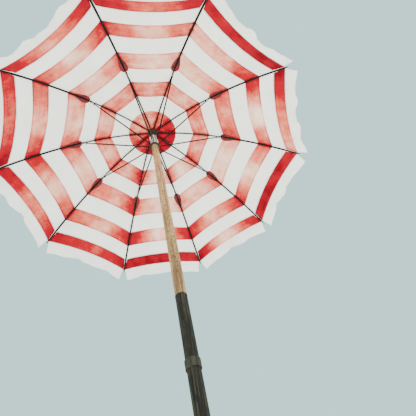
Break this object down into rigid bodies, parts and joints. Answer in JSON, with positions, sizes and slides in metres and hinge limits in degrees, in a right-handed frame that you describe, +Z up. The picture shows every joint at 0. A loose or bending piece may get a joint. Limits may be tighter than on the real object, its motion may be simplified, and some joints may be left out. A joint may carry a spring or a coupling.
{
  "type": "beach umbrella",
  "caption": "Folding beach umbrella with a red and white banded canopy on hinged ribs and struts, a sliding runner, and a wooden pole that telescopes in a tube with a sand spike.",
  "frame": {"origin": "the tip of the sand spike, on the pole's axis", "axes": "+Z up along the pole towards the crown; +X along rib 01; +Y towards the height clamp at the back"},
  "size_m": [1.8456, 1.773, 2.492],
  "materials": {
    "canvas": "woven cotton canvas in red and white bands, dyed unevenly",
    "canvas_red": "woven cotton canvas, red",
    "wood": "pale tan wood, sanded, with darker grain",
    "dark_metal": "satin charcoal paint",
    "silver": "brushed, with dark lengthwise streaks",
    "steel": "plain wire",
    "plastic": "moulded, satin charcoal",
    "rubber": "matt black"
  },
  "bodies": {
    "lower_pole": {"lower_tube": "dark_metal", "tube_rim": "dark_metal", "sand_spike": "plastic", "clamp_band": "dark_metal"},
    "clamp_screw": {"clamp_knob": "rubber", "clamp_stud": "steel"},
    "upper_pole": {"upper_pole": "wood", "pole_plug": "rubber", "crown": "dark_metal", "crown_hinge_wire": "steel", "canopy_cap": "canvas_red", "finial": "wood"},
    "catch": {"spring_catch": "steel"},
    "runner": {"runner_sleeve": "silver", "runner_collar": "silver", "runner_flange": "dark_metal"},
    "rib_01": {"rib_01": "dark_metal", "rib_guard_01": "canvas_red", "canopy_panel_01": "canvas"},
    "strut_01": {"strut_01": "dark_metal"},
    "rib_02": {"rib_02": "dark_metal", "rib_guard_02": "canvas_red", "canopy_panel_02": "canvas"},
    "strut_02": {"strut_02": "dark_metal"},
    "rib_03": {"rib_03": "dark_metal", "rib_guard_03": "canvas_red", "canopy_panel_03": "canvas"},
    "strut_03": {"strut_03": "dark_metal"},
    "rib_04": {"rib_04": "dark_metal", "rib_guard_04": "canvas_red", "canopy_panel_04": "canvas"},
    "strut_04": {"strut_04": "dark_metal"},
    "rib_05": {"rib_05": "dark_metal", "rib_guard_05": "canvas_red", "canopy_panel_05": "canvas"},
    "strut_05": {"strut_05": "dark_metal"},
    "rib_06": {"rib_06": "dark_metal", "rib_guard_06": "canvas_red", "canopy_panel_06": "canvas"},
    "strut_06": {"strut_06": "dark_metal"},
    "rib_07": {"rib_07": "dark_metal", "rib_guard_07": "canvas_red", "canopy_panel_07": "canvas"},
    "strut_07": {"strut_07": "dark_metal"},
    "rib_08": {"rib_08": "dark_metal", "rib_guard_08": "canvas_red", "canopy_panel_08": "canvas"},
    "strut_08": {"strut_08": "dark_metal"},
    "rib_09": {"rib_09": "dark_metal", "rib_guard_09": "canvas_red", "canopy_panel_09": "canvas"},
    "strut_09": {"strut_09": "dark_metal"},
    "rib_10": {"rib_10": "dark_metal", "rib_guard_10": "canvas_red", "canopy_panel_10": "canvas"},
    "strut_10": {"strut_10": "dark_metal"}
  },
  "joints": [
    {"name": "height_slide", "type": "slide", "parent": "lower_pole", "child": "upper_pole", "axis": [0, 0, 1], "range_m": [0, 0.15]},
    {"name": "clamp_knob_turn", "type": "hinge", "parent": "lower_pole", "child": "clamp_screw", "pos_m": [0, 0.05, 0.67], "axis": [0, 1, 0], "range_deg": [-540, 0]},
    {"name": "runner_slide", "type": "slide", "parent": "upper_pole", "child": "runner", "axis": [0, 0, 1], "range_m": [-0.6305, 0], "deforming": ["canopy_panel_01", "canopy_panel_02", "canopy_panel_03", "canopy_panel_04", "canopy_panel_05", "canopy_panel_06", "canopy_panel_07", "canopy_panel_08", "canopy_panel_09", "canopy_panel_10", "spring_catch"]},
    {"name": "catch_press", "type": "slide", "parent": "upper_pole", "child": "catch", "axis": [0, -1, 0], "range_m": [0, 0.0042], "stiffness_N_per_m": 800, "springref_m": -0.001},
    {"name": "rib_hinge_01", "type": "hinge", "parent": "upper_pole", "child": "rib_01", "pos_m": [0.0285, 0, 2.43], "axis": [0, 1, 0], "range_deg": [0, 61]},
    {"name": "strut_pivot_01", "type": "hinge", "parent": "rib_01", "child": "strut_01", "pos_m": [0.455, 0, 2.31787], "axis": [0, -1, 0], "range_deg": [0, 122]},
    {"name": "rib_hinge_02", "type": "hinge", "parent": "upper_pole", "child": "rib_02", "pos_m": [0.02306, 0.01675, 2.43], "axis": [-0.5878, 0.809, 0], "range_deg": [0, 61]},
    {"name": "strut_pivot_02", "type": "hinge", "parent": "rib_02", "child": "strut_02", "pos_m": [0.3681, 0.26744, 2.31787], "axis": [0.5878, -0.809, 0], "range_deg": [0, 122]},
    {"name": "rib_hinge_03", "type": "hinge", "parent": "upper_pole", "child": "rib_03", "pos_m": [0.00881, 0.02711, 2.43], "axis": [-0.9511, 0.309, 0], "range_deg": [0, 61]},
    {"name": "strut_pivot_03", "type": "hinge", "parent": "rib_03", "child": "strut_03", "pos_m": [0.1406, 0.43273, 2.31787], "axis": [0.9511, -0.309, 0], "range_deg": [0, 122]},
    {"name": "rib_hinge_04", "type": "hinge", "parent": "upper_pole", "child": "rib_04", "pos_m": [-0.00881, 0.02711, 2.43], "axis": [-0.9511, -0.309, 0], "range_deg": [0, 61]},
    {"name": "strut_pivot_04", "type": "hinge", "parent": "rib_04", "child": "strut_04", "pos_m": [-0.1406, 0.43273, 2.31787], "axis": [0.9511, 0.309, 0], "range_deg": [0, 122]},
    {"name": "rib_hinge_05", "type": "hinge", "parent": "upper_pole", "child": "rib_05", "pos_m": [-0.02306, 0.01675, 2.43], "axis": [-0.5878, -0.809, 0], "range_deg": [0, 61]},
    {"name": "strut_pivot_05", "type": "hinge", "parent": "rib_05", "child": "strut_05", "pos_m": [-0.3681, 0.26744, 2.31787], "axis": [0.5878, 0.809, 0], "range_deg": [0, 122]},
    {"name": "rib_hinge_06", "type": "hinge", "parent": "upper_pole", "child": "rib_06", "pos_m": [-0.0285, 0, 2.43], "axis": [0, -1, 0], "range_deg": [0, 61]},
    {"name": "strut_pivot_06", "type": "hinge", "parent": "rib_06", "child": "strut_06", "pos_m": [-0.455, 0, 2.31787], "axis": [0, 1, 0], "range_deg": [0, 122]},
    {"name": "rib_hinge_07", "type": "hinge", "parent": "upper_pole", "child": "rib_07", "pos_m": [-0.02306, -0.01675, 2.43], "axis": [0.5878, -0.809, 0], "range_deg": [0, 61]},
    {"name": "strut_pivot_07", "type": "hinge", "parent": "rib_07", "child": "strut_07", "pos_m": [-0.3681, -0.26744, 2.31787], "axis": [-0.5878, 0.809, 0], "range_deg": [0, 122]},
    {"name": "rib_hinge_08", "type": "hinge", "parent": "upper_pole", "child": "rib_08", "pos_m": [-0.00881, -0.02711, 2.43], "axis": [0.9511, -0.309, 0], "range_deg": [0, 61]},
    {"name": "strut_pivot_08", "type": "hinge", "parent": "rib_08", "child": "strut_08", "pos_m": [-0.1406, -0.43273, 2.31787], "axis": [-0.9511, 0.309, 0], "range_deg": [0, 122]},
    {"name": "rib_hinge_09", "type": "hinge", "parent": "upper_pole", "child": "rib_09", "pos_m": [0.00881, -0.02711, 2.43], "axis": [0.9511, 0.309, 0], "range_deg": [0, 61]},
    {"name": "strut_pivot_09", "type": "hinge", "parent": "rib_09", "child": "strut_09", "pos_m": [0.1406, -0.43273, 2.31787], "axis": [-0.9511, -0.309, 0], "range_deg": [0, 122]},
    {"name": "rib_hinge_10", "type": "hinge", "parent": "upper_pole", "child": "rib_10", "pos_m": [0.02306, -0.01675, 2.43], "axis": [0.5878, 0.809, 0], "range_deg": [0, 61]},
    {"name": "strut_pivot_10", "type": "hinge", "parent": "rib_10", "child": "strut_10", "pos_m": [0.3681, -0.26744, 2.31787], "axis": [-0.5878, -0.809, 0], "range_deg": [0, 122]}
  ],
  "couplings": [
    {"joint": "rib_hinge_01", "follows": "runner_slide", "rad_per_m": -1.6885},
    {"joint": "strut_pivot_01", "follows": "runner_slide", "rad_per_m": -3.3771},
    {"joint": "rib_hinge_02", "follows": "runner_slide", "rad_per_m": -1.6885},
    {"joint": "strut_pivot_02", "follows": "runner_slide", "rad_per_m": -3.3771},
    {"joint": "rib_hinge_03", "follows": "runner_slide", "rad_per_m": -1.6885},
    {"joint": "strut_pivot_03", "follows": "runner_slide", "rad_per_m": -3.3771},
    {"joint": "rib_hinge_04", "follows": "runner_slide", "rad_per_m": -1.6885},
    {"joint": "strut_pivot_04", "follows": "runner_slide", "rad_per_m": -3.3771},
    {"joint": "rib_hinge_05", "follows": "runner_slide", "rad_per_m": -1.6885},
    {"joint": "strut_pivot_05", "follows": "runner_slide", "rad_per_m": -3.3771},
    {"joint": "rib_hinge_06", "follows": "runner_slide", "rad_per_m": -1.6885},
    {"joint": "strut_pivot_06", "follows": "runner_slide", "rad_per_m": -3.3771},
    {"joint": "rib_hinge_07", "follows": "runner_slide", "rad_per_m": -1.6885},
    {"joint": "strut_pivot_07", "follows": "runner_slide", "rad_per_m": -3.3771},
    {"joint": "rib_hinge_08", "follows": "runner_slide", "rad_per_m": -1.6885},
    {"joint": "strut_pivot_08", "follows": "runner_slide", "rad_per_m": -3.3771},
    {"joint": "rib_hinge_09", "follows": "runner_slide", "rad_per_m": -1.6885},
    {"joint": "strut_pivot_09", "follows": "runner_slide", "rad_per_m": -3.3771},
    {"joint": "rib_hinge_10", "follows": "runner_slide", "rad_per_m": -1.6885},
    {"joint": "strut_pivot_10", "follows": "runner_slide", "rad_per_m": -3.3771}
  ]
}
